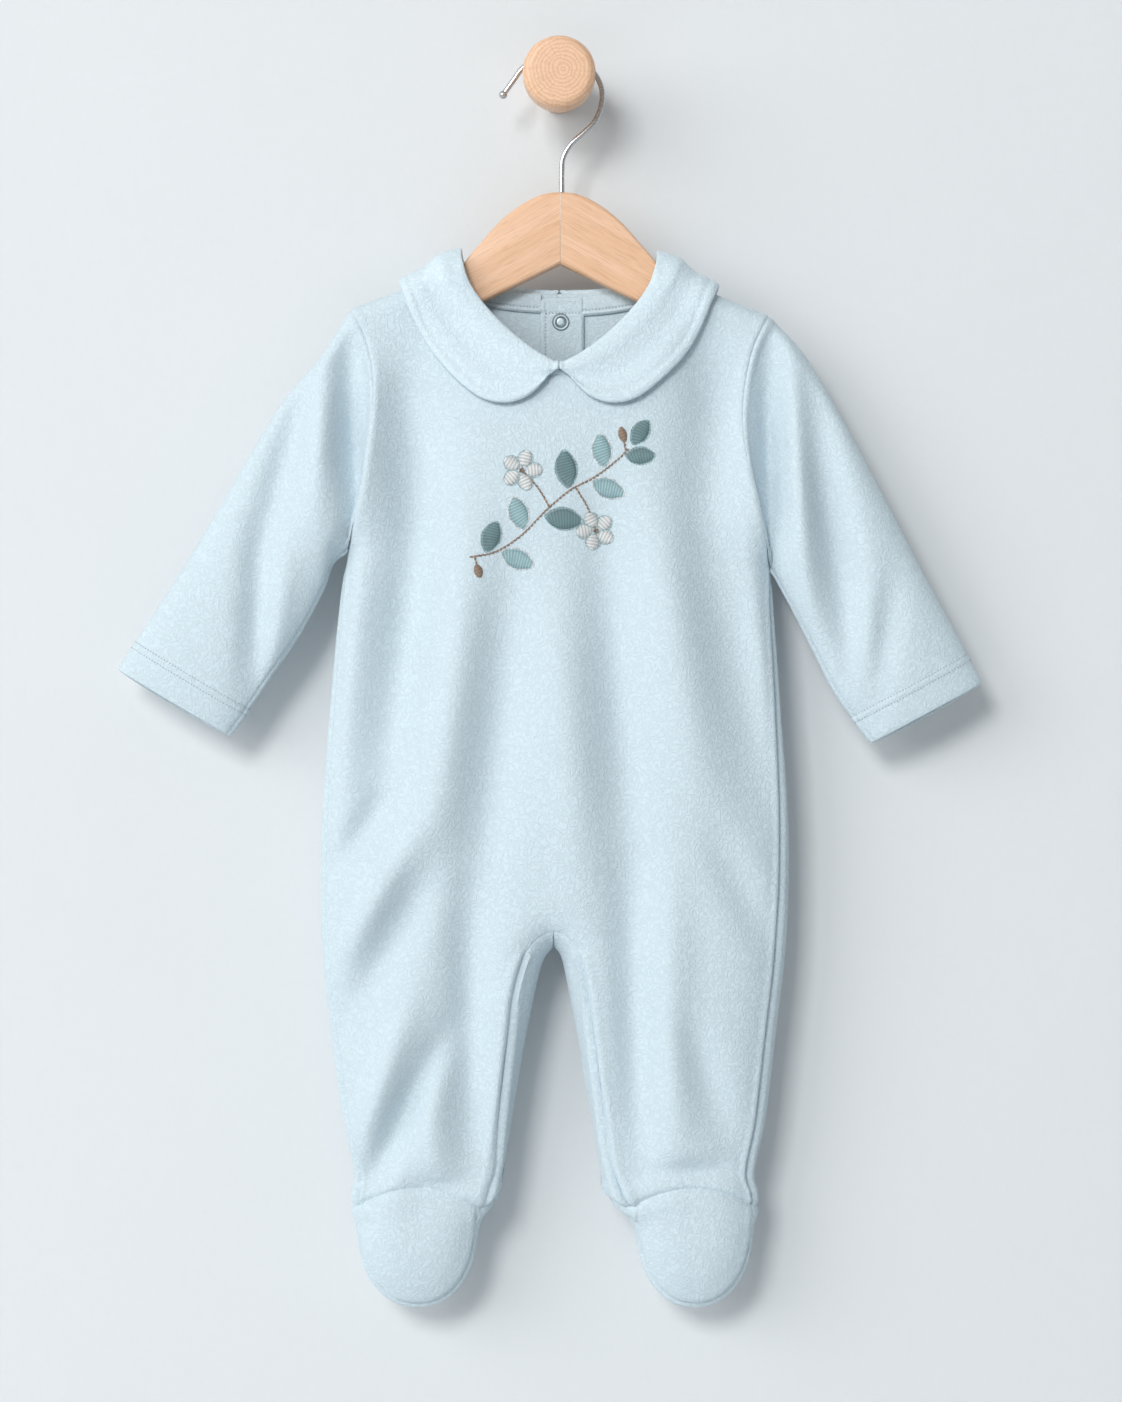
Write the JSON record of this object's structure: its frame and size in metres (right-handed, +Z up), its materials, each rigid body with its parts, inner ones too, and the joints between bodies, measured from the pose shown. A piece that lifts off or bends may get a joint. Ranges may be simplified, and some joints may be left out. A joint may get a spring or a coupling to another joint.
{
  "type": "footed baby jumpsuit on a wooden hanger and wall peg",
  "caption": "Long-sleeved footed baby jumpsuit with a rounded flat collar and a snapped back opening, hung on a small wooden hanger over a wall peg.",
  "frame": {"origin": "centre of the wall peg's flat back face, on the wall", "axes": "+Z up along the hanging garment, +Y into the wall, +X to the right of someone facing the garment"},
  "size_m": [0.4658, 0.062, 0.6807],
  "materials": {
    "cloth": "brushed pale blue velour knit",
    "wood": "pale smooth hardwood with a thin satin lacquer",
    "wire": "bright drawn steel wire",
    "snap": "nickel-plated press snap"
  },
  "bodies": {
    "root": {"front_panel": "cloth", "back_panel_left": "cloth", "back_panel_right": "cloth", "sleeve_left": "cloth", "sleeve_right": "cloth", "foot_upper_left": "cloth", "foot_upper_right": "cloth", "foot_sole_left": "cloth", "foot_sole_right": "cloth", "collar_left": "cloth", "collar_right": "cloth", "neck_binding_left": "cloth", "neck_binding_right": "cloth", "placket_inner": "cloth", "placket_outer": "cloth", "snap_ring_1": "snap", "snap_ring_2": "snap", "snap_ring_3": "snap", "snap_ring_4": "snap", "snap_ring_5": "snap", "snap_cap_1": "snap", "snap_cap_2": "snap", "snap_cap_3": "snap", "snap_cap_4": "snap", "snap_cap_5": "snap", "hanger_arm_left": "wood", "hanger_arm_right": "wood", "hook_wire": "wire", "hook_ball": "wire", "wall_peg": "wood"}
  },
  "joints": []
}
